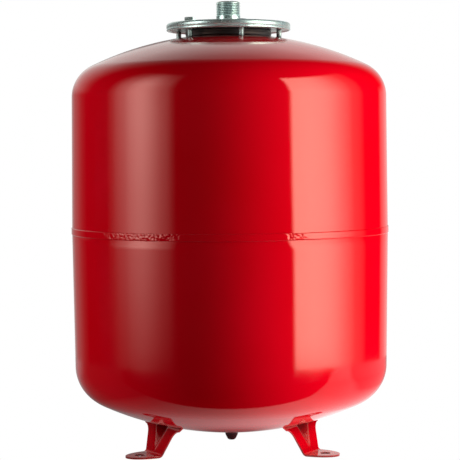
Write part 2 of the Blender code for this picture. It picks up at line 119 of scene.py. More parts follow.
def rounded(points, radius, steps=4):
    """The closed (r, z) outline with each corner replaced by a short round, where the sides allow it."""
    result = []
    count = len(points)
    for index in range(count):
        before = Vector(points[index - 1])
        here = Vector(points[index])
        after = Vector(points[(index + 1) % count])
        if here.x < 1e-6:
            result.append(tuple(here))
            continue
        reach = min(radius, (before - here).length * 0.45, (after - here).length * 0.45)
        start = here + (before - here).normalized() * reach
        end = here + (after - here).normalized() * reach
        for step in range(steps + 1):
            t = step / steps
            point = start * (1 - t) ** 2 + here * 2 * t * (1 - t) + end * t ** 2
            result.append(tuple(point))
    return result


def divided(start, end, steps):
    """Points on a straight run, without its first one."""
    start = Vector(start)
    end = Vector(end)
    return [tuple(start.lerp(end, step / steps)) for step in range(1, steps + 1)]


def new_object(name, mesh, smooth_angle=35.0):
    """An object with smooth faces whose edges stay sharp from smooth_angle degrees on."""
    mesh.shade_smooth()
    mesh.set_sharp_from_angle(angle=math.radians(smooth_angle))
    obj = bpy.data.objects.new(name, mesh)
    bpy.context.scene.collection.objects.link(obj)
    return obj


def mesh_from(name, verts, faces):
    """A mesh whose normals all point outwards."""
    mesh = bpy.data.meshes.new(name)
    mesh.from_pydata(verts, [], faces)
    work = bmesh.new()
    work.from_mesh(mesh)
    bmesh.ops.recalc_face_normals(work, faces=work.faces)
    work.to_mesh(mesh)
    work.free()
    return mesh


def ring_faces(rings):
    """Faces between neighbouring rings of vertex numbers, the last ring joined to the first."""
    faces = []
    for upper, lower in zip(rings, rings[1:] + rings[:1]):
        for segment in range(len(upper)):
            after = (segment + 1) % len(upper)
            face = []
            for corner in (upper[segment], lower[segment], lower[after], upper[after]):
                if corner not in face:
                    face.append(corner)
            if len(face) > 2:
                faces.append(face)
    return faces


def revolved_mesh(name, profile, segments, shift=None):
    """A closed (r, z) profile turned round Z. shift(angle, r, z) may return another (r, z) for a point."""
    verts = []
    rings = []
    for r, z in profile:
        if r < 1e-7:
            rings.append([len(verts)] * segments)
            verts.append((0.0, 0.0, z))
            continue
        ring = []
        for segment in range(segments):
            angle = math.tau * segment / segments
            point_r, point_z = shift(angle, r, z) if shift else (r, z)
            ring.append(len(verts))
            verts.append((point_r * math.cos(angle), point_r * math.sin(angle), point_z))
        rings.append(ring)
    return mesh_from(name, verts, ring_faces(rings))


def turned(name, profile, segments, shift=None, smooth_angle=35.0):
    """The object of a closed (r, z) profile turned round Z."""
    return new_object(name, revolved_mesh(name, profile, segments, shift), smooth_angle)


def finish_piece(obj, body, nodes, material):
    """Material, body and replaced CAD nodes of one finished piece."""
    obj.data.materials.clear()
    obj.data.materials.append(material)
    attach(obj, body)
    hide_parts(*nodes)


def smooth_ramp(value, start, end):
    """0 up to start, 1 from end on, with a smooth step between them."""
    t = min(max((value - start) / (end - start), 0.0), 1.0)
    return t * t * (3.0 - 2.0 * t)


def thread_shift(top_z, bottom_z, pitch, depth):
    """A helical groove between two heights, running out at both of its ends."""
    root_share = 0.12
    flank_share = 0.76

    def shift(angle, r, z):
        below_top = smooth_ramp(top_z - z, -0.3 * pitch, 0.4 * pitch)
        inside = smooth_ramp(z, bottom_z, bottom_z + pitch) * below_top
        turn = (z / pitch - angle / math.tau) % 1.0
        flank = abs(2.0 * turn - 1.0)
        tooth = min(max((flank - root_share) / flank_share, 0.0), 1.0)
        return r - depth * inside * (1.0 - tooth), z

    return shift


# ---------------------------------------------------------------- node helpers

class Graph:
    """Short calls for building one node tree."""

    def __init__(self, tree):
        self.tree = tree
        tree.nodes.clear()

    def add(self, kind, **settings):
        node = self.tree.nodes.new(kind)
        for name, value in settings.items():
            setattr(node, name, value)
        return node

    def put(self, socket, value):
        """Link an output socket to an input, or set the input's own value."""
        if isinstance(value, bpy.types.NodeSocket):
            self.tree.links.new(value, socket)
        else:
            socket.default_value = value

    def math(self, operation, *values):
        node = self.add("ShaderNodeMath", operation=operation)
        for socket, value in zip(node.inputs, values):
            self.put(socket, value)
        return node.outputs[0]

    def product(self, *values):
        total = values[0]
        for value in values[1:]:
            total = self.math("MULTIPLY", total, value)
        return total

    def span(self, value, start, end, low=0.0, high=1.0, smooth=False):
        """value from start..end, carried to low..high and held there outside."""
        node = self.add("ShaderNodeMapRange", interpolation_type="SMOOTHSTEP" if smooth else "LINEAR")
        self.put(node.inputs["Value"], value)
        node.inputs["From Min"].default_value = start
        node.inputs["From Max"].default_value = end
        node.inputs["To Min"].default_value = low
        node.inputs["To Max"].default_value = high
        return node.outputs["Result"]

    def curve(self, value, points):
        """A broken line through (value, result) points, level beyond its ends."""
        total = points[0][1]
        for (x0, y0), (x1, y1) in zip(points, points[1:]):
            if y0 != y1:
                total = self.math("ADD", total, self.span(value, x0, x1, 0.0, y1 - y0))
        return total

    def noise(self, vector, scale, detail=2.0, roughness=0.5):
        node = self.add("ShaderNodeTexNoise")
        self.put(node.inputs["Vector"], vector)
        node.inputs["Scale"].default_value = scale
        node.inputs["Detail"].default_value = detail
        node.inputs["Roughness"].default_value = roughness
        return node.outputs["Fac"]


def colour_socket(sockets, name):
    """The colour socket of that name: a mix node has sockets of other types under the same names."""
    for socket in sockets:
        if socket.name == name and socket.type == "RGBA":
            return socket
    raise KeyError(name)


def mixed_colour(graph, factor, first, second):
    """The first colour where factor is 0, the second where it is 1."""
    node = graph.add("ShaderNodeMix", data_type="RGBA")
    graph.put(node.inputs[0], factor)
    graph.put(colour_socket(node.inputs, "A"), first)
    graph.put(colour_socket(node.inputs, "B"), second)
    return colour_socket(node.outputs, "Result")


def openness(graph, distance):
    """1 in the open, less where other surfaces are nearer than distance."""
    node = graph.add("ShaderNodeAmbientOcclusion", samples=8)
    node.inputs["Distance"].default_value = distance
    return node.outputs["AO"]


def bumped(graph, heights):
    """Normal output of bumps on top of each other: (height socket, distance in metres, strength)."""
    normal = None
    for height, distance, strength in heights:
        node = graph.add("ShaderNodeBump")
        node.inputs["Strength"].default_value = strength
        node.inputs["Distance"].default_value = distance
        graph.put(node.inputs["Height"], height)
        if normal is not None:
            graph.put(node.inputs["Normal"], normal)
        normal = node.outputs["Normal"]
    return normal


def surface(name):
    """A new material: its graph, its Principled shader and the object coordinates."""
    material = bpy.data.materials.new(name)
    material.use_nodes = True
    graph = Graph(material.node_tree)
    shader = graph.add("ShaderNodeBsdfPrincipled")
    output = graph.add("ShaderNodeOutputMaterial")
    graph.put(output.inputs["Surface"], shader.outputs["BSDF"])
    place = graph.add("ShaderNodeTexCoord").outputs["Object"]
    return material, graph, shader, place


# ---------------------------------------------------------------- finishes

def make_red_paint():
    """Baked gloss powder coat: deep red, faint orange peel, with painted shade darkening it in folds and
    narrow gaps.
    """
    material, graph, shader, place = surface("red_gloss_paint")
    cloud = graph.noise(place, 9.0, 3.0)
    tone = mixed_colour(graph, graph.span(cloud, 0.35, 0.65),
                        (0.66, 0.0, 0.006, 1.0), (0.70, 0.0, 0.009, 1.0))
    # painted shade: the red darkens towards near black in folds, grooves and narrow gaps, where other
    # surfaces are close
    lit = graph.span(openness(graph, 30 * MM), 0.35, 0.92)
    graph.put(shader.inputs["Base Color"], mixed_colour(graph, lit, (0.10, 0.0, 0.001, 1.0), tone))
    gloss = graph.noise(place, 40.0, 3.0)
    graph.put(shader.inputs["Roughness"], graph.span(gloss, 0.3, 0.7, 0.06, 0.085))
    peel = graph.noise(place, 330.0, 2.0)
    swell = graph.noise(place, 60.0, 1.0)
    graph.put(shader.inputs["Normal"], bumped(graph, [(swell, 0.02 * MM, 0.5), (peel, 0.006 * MM, 0.5)]))
    shader.inputs["IOR"].default_value = 1.5
    shader.inputs["Specular IOR Level"].default_value = 0.8
    shader.inputs["Specular Tint"].default_value = (1.0, 0.62, 0.57, 1.0)
    return material


def make_zinc(name, tint, rough_low, rough_high, grain_scale, groove=4 * MM):
    """Zinc plating: grey metal with soft clouds and fine grain, with painted shade darkening it in grooves of
    about that width.
    """
    material, graph, shader, place = surface(name)
    shader.inputs["Metallic"].default_value = 0.75
    cloud = graph.noise(place, 55.0, 4.0)
    cool = tuple(channel * factor for channel, factor in zip(tint, (0.93, 1.0, 0.99))) + (1.0,)
    warm = tuple(channel * factor for channel, factor in zip(tint, (1.02, 1.0, 0.94))) + (1.0,)
    tone = mixed_colour(graph, graph.span(cloud, 0.38, 0.62), cool, warm)
    # painted shade: the plating darkens to a quarter of its colour in grooves, such as thread roots
    lit = graph.span(openness(graph, groove), 0.45, 0.85)
    darker_colour = tuple(channel * 0.25 for channel in tint) + (1.0,)
    graph.put(shader.inputs["Base Color"], mixed_colour(graph, lit, darker_colour, tone))
    gloss = graph.noise(place, 160.0, 3.0)
    graph.put(shader.inputs["Roughness"], graph.span(gloss, 0.3, 0.7, rough_low, rough_high))
    grain = graph.noise(place, grain_scale, 3.0, 0.6)
    graph.put(shader.inputs["Normal"], bumped(graph, [(grain, 0.006 * MM, 0.35)]))
    return material


def make_rubber(name, colour, roughness):
    """Moulded rubber: nearly black, bloomed a little, with a fine matt skin and a warm sheen."""
    material, graph, shader, place = surface(name)
    shader.inputs["Specular IOR Level"].default_value = 0.65
    shader.inputs["Specular Tint"].default_value = (1.0, 0.66, 0.56, 1.0)
    bloom = graph.noise(place, 70.0, 4.0)
    pale = tuple(channel * 1.9 + 0.004 for channel in colour)
    graph.put(shader.inputs["Base Color"],
              mixed_colour(graph, graph.span(bloom, 0.45, 0.75), (*colour, 1.0), (*pale, 1.0)))
    graph.put(shader.inputs["Roughness"], graph.span(bloom, 0.3, 0.7, roughness - 0.06, roughness + 0.08))
    skin = graph.noise(place, 1400.0, 2.0)
    graph.put(shader.inputs["Normal"], bumped(graph, [(skin, 0.03 * MM, 0.4)]))
    return material


def make_turned_metal(name, colour, roughness):
    """Turned or drawn metal: fine tool marks round the axis and a slightly dulled tone."""
    material, graph, shader, place = surface(name)
    shader.inputs["Metallic"].default_value = 1.0
    split = graph.add("ShaderNodeSeparateXYZ")
    graph.put(split.inputs[0], place)
    marks = graph.noise(place, 300.0, 2.0)
    phase = graph.math("ADD", graph.product(split.outputs["Z"], 9000.0), graph.product(marks, 3.0))
    rings = graph.math("SINE", phase)
    darker_colour = tuple(channel * 0.8 for channel in colour)
    graph.put(shader.inputs["Base Color"],
              mixed_colour(graph, graph.span(marks, 0.35, 0.7), (*colour, 1.0), (*darker_colour, 1.0)))
    graph.put(shader.inputs["Roughness"], graph.span(marks, 0.3, 0.7, roughness - 0.05, roughness + 0.08))
    graph.put(shader.inputs["Normal"], bumped(graph, [(rings, 0.004 * MM, 0.5)]))
    return material


def make_cap_plastic():
    """Moulded cap: very dark red-brown plastic, fairly glossy."""
    material, graph, shader, place = surface("cap_moulded_plastic")
    cloud = graph.noise(place, 260.0, 3.0)
    graph.put(shader.inputs["Base Color"],
              mixed_colour(graph, cloud, (0.045, 0.003, 0.004, 1.0), (0.075, 0.009, 0.010, 1.0)))
    graph.put(shader.inputs["Roughness"], graph.span(cloud, 0.3, 0.7, 0.14, 0.22))
    skin = graph.noise(place, 900.0, 2.0)
    graph.put(shader.inputs["Normal"], bumped(graph, [(skin, 0.03 * MM, 0.4)]))
    return material


RED_PAINT = make_red_paint()
ZINC = make_zinc("zinc_plated_sheet", (0.68, 0.81, 0.83), 0.24, 0.36, 700.0)
ZINC_THREAD = make_zinc("zinc_plated_thread", (0.74, 0.87, 0.88), 0.18, 0.28, 700.0, 1.6 * MM)
ZINC_FASTENER = make_zinc("zinc_plated_fastener", (0.82, 0.93, 0.95), 0.12, 0.2, 900.0)
BARE_STEEL = make_turned_metal("turned_steel", (0.42, 0.41, 0.40), 0.34)
BRASS = make_turned_metal("turned_brass", (0.76, 0.56, 0.24), 0.26)
SPRING_STEEL = make_turned_metal("drawn_spring_wire", (0.6, 0.6, 0.6), 0.28)
BUTYL = make_rubber("butyl_rubber", (0.013, 0.013, 0.014), 0.42)
SEAL = make_rubber("seal_rubber", (0.012, 0.012, 0.012), 0.55)
CAP_PLASTIC = make_cap_plastic()


# ---------------------------------------------------------------- vessel body

def head(tangent_r, crown_r, knuckle_r, inner_r, crown_steps, knuckle_steps):
    """Points (r, height over the tangent line) from the crown's opening out to the tangent line."""
    knuckle_centre = tangent_r - knuckle_r
    drop = math.sqrt((crown_r - knuckle_r) ** 2 - knuckle_centre ** 2)
    join = math.degrees(math.atan2(drop, knuckle_centre))
    start = math.degrees(math.acos(inner_r / crown_r))
    crown = arc(0.0, -drop, crown_r, start, join, crown_steps)
    knuckle = arc(knuckle_centre, 0.0, knuckle_r, join, 0.0, knuckle_steps)
    return crown + knuckle[1:]


def crown_height(tangent_r, crown_r, knuckle_r):
    """Height of the crown's top over the tangent line."""
    return crown_r - math.sqrt((crown_r - knuckle_r) ** 2 - (tangent_r - knuckle_r) ** 2)


seam_low, seam_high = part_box("seam_weld")
SEAM_Z = (seam_low.z + seam_high.z) / 2
SEAM_HALF = (seam_high.z - seam_low.z) / 2
SEAM_PROUD = 1.0 * MM
SEAM_COARSE_ARCS = ((-48.0, -18.0), (20.0, 26.0), (98.0, 130.0), (-152.0, -118.0))
BODY_R = seam_high.x - SEAM_PROUD
TOP_CROWN_Z = TOP_TANGENT_Z + crown_height(TOP_TANGENT_R, TOP_CROWN_R, TOP_KNUCKLE_R)
BOTTOM_Z = BOTTOM_TANGENT_Z - crown_height(BOTTOM_TANGENT_R, BOTTOM_CROWN_R, BOTTOM_KNUCKLE_R)


def make_upper_body():
    """Upper cup: crown with its mouth, knuckle and wall down to the seam."""
    outer = [(r, TOP_TANGENT_Z + z) for r, z in
             head(TOP_TANGENT_R, TOP_CROWN_R, TOP_KNUCKLE_R, MOUTH_R, 40, 36)]
    outer += divided(outer[-1], (BODY_R, SEAM_Z), 16)
    inner = [(r, TOP_TANGENT_Z + z) for r, z in
             head(TOP_TANGENT_R - SHELL_WALL, TOP_CROWN_R - SHELL_WALL,
                  TOP_KNUCKLE_R - SHELL_WALL, MOUTH_R, 12, 10)]
    inner.append((BODY_R - SHELL_WALL, SEAM_Z))
    body = turned("upper_body", outer + list(reversed(inner)), BODY_SEGMENTS)
    finish_piece(body, "vessel", ["upper_shell"], RED_PAINT)


def make_lower_body():
    """Lower cup: its rim steps in to fit inside the upper cup, its bottom has the valve's hole."""
    fit_gap = 0.3 * MM
    joggle_r = BODY_R - SHELL_WALL - fit_gap
    joggle_top = SEAM_Z + 14.0 * MM
    joggle_end = SEAM_Z - 0.3 * MM
    joggle_start = SEAM_Z - 4.0 * MM
    outer = [(joggle_r, joggle_top), (joggle_r, joggle_end), (BODY_R, joggle_start)]
    bottom = [(r, BOTTOM_TANGENT_Z - z) for r, z in
              head(BOTTOM_TANGENT_R, BOTTOM_CROWN_R, BOTTOM_KNUCKLE_R, VALVE_HOLE_R, 44, 36)]
    bottom.reverse()
    outer += divided(outer[-1], bottom[0], 16)
    outer += bottom[1:]
    inner = [(r, BOTTOM_TANGENT_Z - z) for r, z in
             head(BOTTOM_TANGENT_R - SHELL_WALL, BOTTOM_CROWN_R - SHELL_WALL,
                  BOTTOM_KNUCKLE_R - SHELL_WALL, VALVE_HOLE_R, 12, 10)]
    inner.append((BODY_R - SHELL_WALL, joggle_start))
    inner.append((joggle_r - SHELL_WALL, joggle_end))
    inner.append((joggle_r - SHELL_WALL, joggle_top))
    body = turned("lower_body", outer + inner, BODY_SEGMENTS)
    finish_piece(body, "vessel", ["lower_shell"], RED_PAINT)


def coarse_share(azimuth):
    """1 where the weld was laid by hand in coarse drops, 0 on its smooth stretches."""
    share = 0.0
    for start, end in SEAM_COARSE_ARCS:
        inside = smooth_ramp(azimuth, start - 2.0, start + 1.0) * smooth_ramp(end - azimuth, -3.0, 1.0)
        share = max(share, inside)
    return share


def make_seam_bead():
    """The painted weld: a low flat band with crisp edges, and coarse lumps where it was touched up."""
    segments = 1200
    steps = 16
    edge_width = 0.55 * MM
    back_r = BODY_R - 0.4 * MM
    verts = []
    rings = []
    for step in range(steps + 1):
        across = math.cos(math.pi * step / steps)
        ring = []
        for segment in range(segments):
            angle = math.tau * segment / segments
            along = Vector((math.cos(angle), math.sin(angle), 0.0)) * BODY_R
            share = coarse_share(math.degrees(math.atan2(along.x, -along.y)))
            wander = noise.noise(along * 90.0) * (0.12 + 0.5 * share) * MM
            z = SEAM_Z + (SEAM_HALF + wander) * across
            place = along + Vector((0.0, 0.0, z))
            inward = (1.0 - abs(across)) * SEAM_HALF
            band = smooth_ramp(inward, 0.0, edge_width)
            smooth_height = 0.75 + 0.05 * noise.noise(along * 60.0)
            drops = 0.55 + 0.50 * noise.noise(place * 430.0) + 0.35 * noise.noise(place * 900.0)
            height = smooth_height + (min(max(drops, 0.0), 1.0) - smooth_height) * share
            r = BODY_R + 0.05 * MM + (SEAM_PROUD - 0.1 * MM) * height * band
            ring.append(len(verts))
            verts.append((r * math.cos(angle), r * math.sin(angle), z))
        rings.append(ring)
    back = []
    for segment in range(segments):
        angle = math.tau * segment / segments
        back.append(len(verts))
        verts.append((back_r * math.cos(angle), back_r * math.sin(angle), SEAM_Z))
    rings.append(back)
    bead = new_object("seam_bead", mesh_from("seam_bead", verts, ring_faces(rings)), 60.0)
    finish_piece(bead, "vessel", ["seam_weld"], RED_PAINT)


# ---------------------------------------------------------------- flange and water connection

flange_low, flange_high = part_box("cover_flange")
washer_low, washer_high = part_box("flange_washer_1")
FLANGE_R = flange_high.x
FLANGE_TOP = flange_high.z
FLANGE_RIM = flange_low.z
FLANGE_PLATE = washer_low.z - 0.02 * MM
FLANGE_SHEET = 3.0 * MM
FLANGE_RECESS_R = 64.0 * MM
FLANGE_CORNER_R = 3.3 * MM
FLANGE_FOLD_Z = 460.3 * MM
nipple_low, nipple_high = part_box("nipple")
NIPPLE_R = nipple_high.x
NIPPLE_BORE_R = 10.2 * MM


def make_flange():
    """Pressed disc: plate, rim standing up round the bolts' heads, fold line and turned-down edge."""
    corner_r = FLANGE_R - FLANGE_CORNER_R
    hole_r = NIPPLE_R + 0.3 * MM
    plate_bottom = FLANGE_PLATE - FLANGE_SHEET
    fillet = 1.0 * MM
    lip = corner_r - FLANGE_RECESS_R
    edge = 1.2 * MM
    profile = [(hole_r, FLANGE_PLATE)]
    profile += divided(profile[-1], (FLANGE_RECESS_R - fillet, FLANGE_PLATE), 8)
    profile += arc(FLANGE_RECESS_R - fillet, FLANGE_PLATE + fillet, fillet, -90, 0, 5)[1:]
    profile += arc(corner_r, FLANGE_TOP - lip, lip, 180, 90, 4)
    profile += arc(corner_r, FLANGE_TOP - FLANGE_CORNER_R, FLANGE_CORNER_R, 90, 0, 14)[1:]
    for above, depth in ((0.8, 0.0), (0.4, 0.2), (0.0, 0.5), (-0.4, 0.2), (-0.8, 0.0)):
        profile.append((FLANGE_R - depth * MM, FLANGE_FOLD_Z + above * MM))
    profile += arc(FLANGE_R - edge, FLANGE_RIM + edge, edge, 0, -140, 12)
    profile.append((FLANGE_R - 2.4 * edge, plate_bottom))
    profile += divided(profile[-1], (hole_r, plate_bottom), 6)
    flange = turned("cover_disc", profile, 192, pressed_wave)
    finish_piece(flange, "vessel", ["cover_flange"], ZINC)


def pressed_wave(angle, r, z):
    """The press leaves the rim's lower edge very slightly uneven."""
    place = Vector((math.cos(angle), math.sin(angle), 0.0)) * 2.2
    share = smooth_ramp(r, FLANGE_R * 0.8, FLANGE_R) * smooth_ramp(FLANGE_TOP - z, 3.0 * MM, 8.0 * MM)
    return r - 0.15 * MM * share, z + 0.25 * MM * share * (1.0 + noise.noise(place))


def make_nipple():
    """Male G 3/4 nipple: chamfered end, helical thread, plain collar, through bore."""
    top = nipple_high.z
    bottom = nipple_low.z
    chamfer = 1.3 * MM
    thread_top = top - 1.6 * MM
    thread_bottom = thread_top - 14.5 * MM
    rows = 150
    profile = [(NIPPLE_BORE_R + 0.4 * MM, top), (NIPPLE_R - chamfer, top)]
    profile += divided(profile[-1], (NIPPLE_R, top - chamfer), 5)
    profile += divided(profile[-1], (NIPPLE_R, thread_bottom - 1.0 * MM), rows)
    profile += divided(profile[-1], (NIPPLE_R, bottom), 4)
    profile += divided(profile[-1], (NIPPLE_BORE_R, bottom), 2)
    profile += divided(profile[-1], (NIPPLE_BORE_R, top - 0.4 * MM), 8)
    helix = thread_shift(thread_top, thread_bottom, NIPPLE_THREAD_PITCH, NIPPLE_THREAD_DEPTH)

    def outside_only(angle, r, z):
        return helix(angle, r, z) if r > NIPPLE_R - 0.1 * MM else (r, z)

    nipple = turned("water_nipple", profile, 120, outside_only, 50.0)
    finish_piece(nipple, "vessel", ["nipple"], ZINC_THREAD)


def make_nipple_fillet():
    """The fillet weld round the nipple's foot, uneven as a hand-laid bead is."""
    weld_low, weld_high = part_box("nipple_weld")
    inner = NIPPLE_R + 0.02 * MM
    leg = weld_high.x - inner
    base = weld_low.z - 0.28 * MM
    profile = [(inner, base)]
    profile += [(inner + leg * math.sin(a), base + leg * math.cos(a))
                for a in (math.pi / 2 * step / 12 for step in range(13))]

    def lumpy(angle, r, z):
        out = (r - inner) / leg
        up = (z - base) / leg
        if out + up < 0.3:
            return r, z
        place = Vector((math.cos(angle), math.sin(angle), 0.0))
        ripple = 0.5 + 0.5 * math.sin(angle * 34.0 + 2.0 * up)
        size = 0.74 + 0.10 * ripple + 0.16 * noise.noise(place * 4.0)
        return inner + (r - inner) * size, base + (z - base) * size

    weld = turned("nipple_fillet", profile, 240, lumpy, 60.0)
    finish_piece(weld, "vessel", ["nipple_weld"], ZINC)


def hex_prism(work, flats, low, high):
    """A hexagon from low to high whose top corners are cut by a chamfering cone."""
    across = flats / 2 / math.cos(math.pi / 6)
    segments = 60
    rings = []
    levels = 6
    chamfer = across - flats / 2
    for level in range(levels + 1):
        if level == 0:
            z, cone_r = low, across
        else:
            t = (level - 1) / (levels - 1)
            z = high - chamfer * 0.55 * (1.0 - t)
            cone_r = across - (chamfer + 0.25 * MM) * t
        ring = []
        for segment in range(segments):
            angle = math.tau * segment / segments
            within = (angle + math.pi / 6) % (math.pi / 3) - math.pi / 6
            flat_r = flats / 2 / math.cos(within)
            r = min(flat_r, cone_r)
            ring.append(work.verts.new((r * math.cos(angle), r * math.sin(angle), z)))
        rings.append(ring)
    for lower, upper in zip(rings, rings[1:]):
        for segment in range(segments):
            after = (segment + 1) % segments
            work.faces.new((lower[segment], lower[after], upper[after], upper[segment]))
    work.faces.new(rings[-1])
    work.faces.new(list(reversed(rings[0])))


def bolt_mesh(head_low, head_high, end_z):
    """M6 hexagon bolt: chamfered head and a fully threaded shank, in one mesh of two closed bodies."""
    work = bmesh.new()
    hex_prism(work, HEX_FLATS, head_low, head_high)
    head_mesh = bpy.data.meshes.new("bolt_head")
    work.to_mesh(head_mesh)
    work.free()
    chamfer = 0.8 * MM
    shank_top = head_low + 0.5 * MM
    profile = [(0.0, shank_top), (SHANK_R, shank_top)]
    profile += divided(profile[-1], (SHANK_R, end_z + chamfer), 170)
    profile += divided(profile[-1], (SHANK_R - chamfer, end_z), 3)
    profile.append((0.0, end_z))
    helix = thread_shift(head_low - 1.0 * MM, end_z - 1.0 * MM, BOLT_THREAD_PITCH, BOLT_THREAD_DEPTH)
    shank_mesh = revolved_mesh("bolt_shank", profile, 20, helix)
    work = bmesh.new()
    work.from_mesh(head_mesh)
    work.from_mesh(shank_mesh)
    mesh = bpy.data.meshes.new("flange_bolt")
    work.to_mesh(mesh)
    work.free()
    bpy.data.meshes.remove(head_mesh)
    bpy.data.meshes.remove(shank_mesh)
    return mesh


def make_bolts():
    """Six bolts over their washers. Each stands as high as its CAD node does."""
    washer_r = (washer_high.x - washer_low.x) / 2
    washer = rounded([(washer_r, washer_high.z), (washer_r, washer_low.z),
                      (WASHER_HOLE_R, washer_low.z), (WASHER_HOLE_R, washer_high.z)], 0.35 * MM)
    bolt_low, bolt_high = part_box("flange_bolt_1")
    head_low = washer_high.z + 0.02 * MM
    bolt = bolt_mesh(head_low, bolt_high.z, bolt_low.z)
    for index in range(1, 7):
        low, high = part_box("flange_washer_%d" % index)
        place = Vector(((low.x + high.x) / 2, (low.y + high.y) / 2, 0.0))
        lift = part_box("flange_bolt_%d" % index)[1].z - bolt_high.z
        turn = math.radians(BOLT_TURN_OFFSET + BOLT_TURN_STEP * index)
        piece = new_object("bolt_%d" % index, bolt.copy(), 40.0)
        piece.location = place + Vector((0.0, 0.0, lift))
        piece.rotation_euler = (0.0, 0.0, turn)
        finish_piece(piece, "vessel", ["flange_bolt_%d" % index], ZINC_FASTENER)
        ring = turned("washer_%d" % index, washer, 48)
        ring.location = place
        finish_piece(ring, "vessel", ["flange_washer_%d" % index], ZINC_FASTENER)
    bpy.data.meshes.remove(bolt)


# ---------------------------------------------------------------- bladder

def make_bladder():
    """Rubber bladder: thick rounded lip clamped under the flange, neck and hanging belly."""
    low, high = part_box("bladder")
    lip_r = 47.0 * MM
    lip_round = 1.6 * MM
    round_steps = 16
    neck_r = MOUTH_R - 0.4 * MM
    wall = 2.0 * MM
    belly_r = high.x
    belly_z = low.z + belly_r
    neck_z = 446.0 * MM
    crown_top_z = TOP_CROWN_Z - TOP_CROWN_R
    lip_low = crown_top_z + math.sqrt(TOP_CROWN_R ** 2 - lip_r ** 2) + 0.1 * MM
    lip_high = FLANGE_PLATE - FLANGE_SHEET - 0.1 * MM

    def side(z, depth):
        end_r = neck_r - depth
        full_r = belly_r - depth
        share = (neck_z - z) / (neck_z - belly_z)
        return end_r + (full_r - end_r) * share * share * (3.0 - 2.0 * share)

    middle = (lip_low + lip_high) / 2
    half = (lip_high - lip_low) / 2
    profile = [(neck_r - wall, lip_high), (lip_r - lip_round, lip_high)]
    for step in range(1, round_steps):
        t = math.pi * step / round_steps
        ridge = 0.35 * MM * max(0.0, 1.0 - abs(math.cos(t)) * 8.0)
        profile.append((lip_r - lip_round + lip_round * math.sin(t) + ridge, middle + half * math.cos(t)))
    profile += [(lip_r - lip_round, lip_low), (neck_r, lip_low)]
    steps = 30
    heights = [neck_z + (belly_z - neck_z) * step / steps for step in range(steps + 1)]
    profile += [(side(z, 0.0), z) for z in heights]
    profile += arc(0.0, belly_z, belly_r, 0, -90, 30)[1:-1]
    profile.append((0.0, belly_z - belly_r))
    profile.append((0.0, belly_z - belly_r + wall))
    profile += arc(0.0, belly_z, belly_r - wall, -90, 0, 30)[1:-1]
    profile += [(side(z, wall), z) for z in reversed(heights)]
    bladder = turned("bladder_rubber", profile, 96)
    finish_piece(bladder, "vessel", ["bladder"], BUTYL)


# ---------------------------------------------------------------- legs

def leg_half_width(z):
    """Half of the leg's width at height z: nearly straight at the foot, flaring out to the vessel."""
    width = PAD_HALF_WIDTH + LEG_FLARE_SLOPE * max(z - GROOVE_APEX_Z, 0.0)
    above = min(max(z - LEG_FLARE_START_Z, 0.0), LEG_FLARE_END)
    tip = LEG_TIP_SLOPE * max(z - LEG_FLARE_START_Z - LEG_FLARE_END, 0.0)
    return width + tip + LEG_FLARE_R - math.sqrt(max(LEG_FLARE_R ** 2 - above ** 2, 0.0))


def groove_depth(side, z):
    """How far the pressed V groove lies behind the sheet's face, its folds slightly rounded."""
    half = max(GROOVE_SLOPE * (z - GROOVE_APEX_Z), 0.0)
    t = half - math.sqrt(side * side + FOLD_SOFTNESS ** 2)
    return GROOVE_DEPTH_RATIO * 0.5 * (t + math.sqrt(t * t + FOLD_SOFTNESS ** 2))


LEAN_ANGLE = math.atan(LEG_LEAN)
BEND_TURN = math.pi / 2 - LEAN_ANGLE
UPRIGHT_RHO = LEG_BEND_RHO - LEG_BEND_R * math.sin(BEND_TURN)
UPRIGHT_Z = LEG_SHEET + LEG_BEND_R * (1.0 - math.cos(BEND_TURN))
DOME_CENTRE_Z = BOTTOM_Z + BOTTOM_CROWN_R


def upright_point(across, z):
    """A point on the leg's outer face over the bend: across runs from -1 to 1 over the width."""
    side = across * leg_half_width(z)
    deep = groove_depth(side, z) - groove_depth(side, UPRIGHT_Z)
    rho = UPRIGHT_RHO - (z - UPRIGHT_Z) * LEG_LEAN
    return Vector((rho - deep * math.cos(LEAN_ANGLE), side, z - deep * math.sin(LEAN_ANGLE)))


def height_at_dome(across):
    """The height where the leg's face meets the vessel's bottom crown."""
    low = UPRIGHT_Z
    high = 60.0 * MM
    for _ in range(40):
        middle = (low + high) / 2
        point = upright_point(across, middle)
        reach = (point - Vector((0.0, 0.0, DOME_CENTRE_Z))).length
        if reach > BOTTOM_CROWN_R:
            low = middle
        else:
            high = middle
    return low


def leg_mesh(name):
    """The sheet's outer face: round-ended foot pad, bend, and grooved upright up to the vessel's bottom."""
    columns = 72
    pad_rows = 22
    bend_rows = 10
    upright_rows = 46
    across = [-1.0 + 2.0 * column / columns for column in range(columns + 1)]
    rows = []
    for row in range(pad_rows):
        angle = math.radians(88.5 * (1.0 - row / pad_rows))
        rho = LEG_BEND_RHO + PAD_LENGTH * math.sin(angle)
        half = PAD_HALF_WIDTH * math.cos(angle)
        rows.append([Vector((rho, a * half, LEG_SHEET)) for a in across])
    for row in range(bend_rows):
        angle = BEND_TURN * row / bend_rows
        rho = LEG_BEND_RHO - LEG_BEND_R * math.sin(angle)
        z = LEG_SHEET + LEG_BEND_R * (1.0 - math.cos(angle))
        rows.append([Vector((rho, a * leg_half_width(z), z)) for a in across])
    tops = [height_at_dome(a) for a in across]
    for row in range(upright_rows + 1):
        share = row / upright_rows
        rows.append([upright_point(a, UPRIGHT_Z + (top - UPRIGHT_Z) * share) for a, top in zip(across, tops)])
    verts = [tuple(point) for line in rows for point in line]
    width = columns + 1
    faces = []
    for row in range(len(rows) - 1):
        for column in range(columns):
            first = row * width + column
            faces.append((first, first + 1, first + width + 1, first + width))
    mesh = bpy.data.meshes.new(name)
    mesh.from_pydata(verts, [], faces)
    return mesh


def apply_modifiers(obj):
    graph = bpy.context.evaluated_depsgraph_get()
    mesh = bpy.data.meshes.new_from_object(obj.evaluated_get(graph))
    obj.modifiers.clear()
    obj.data = mesh


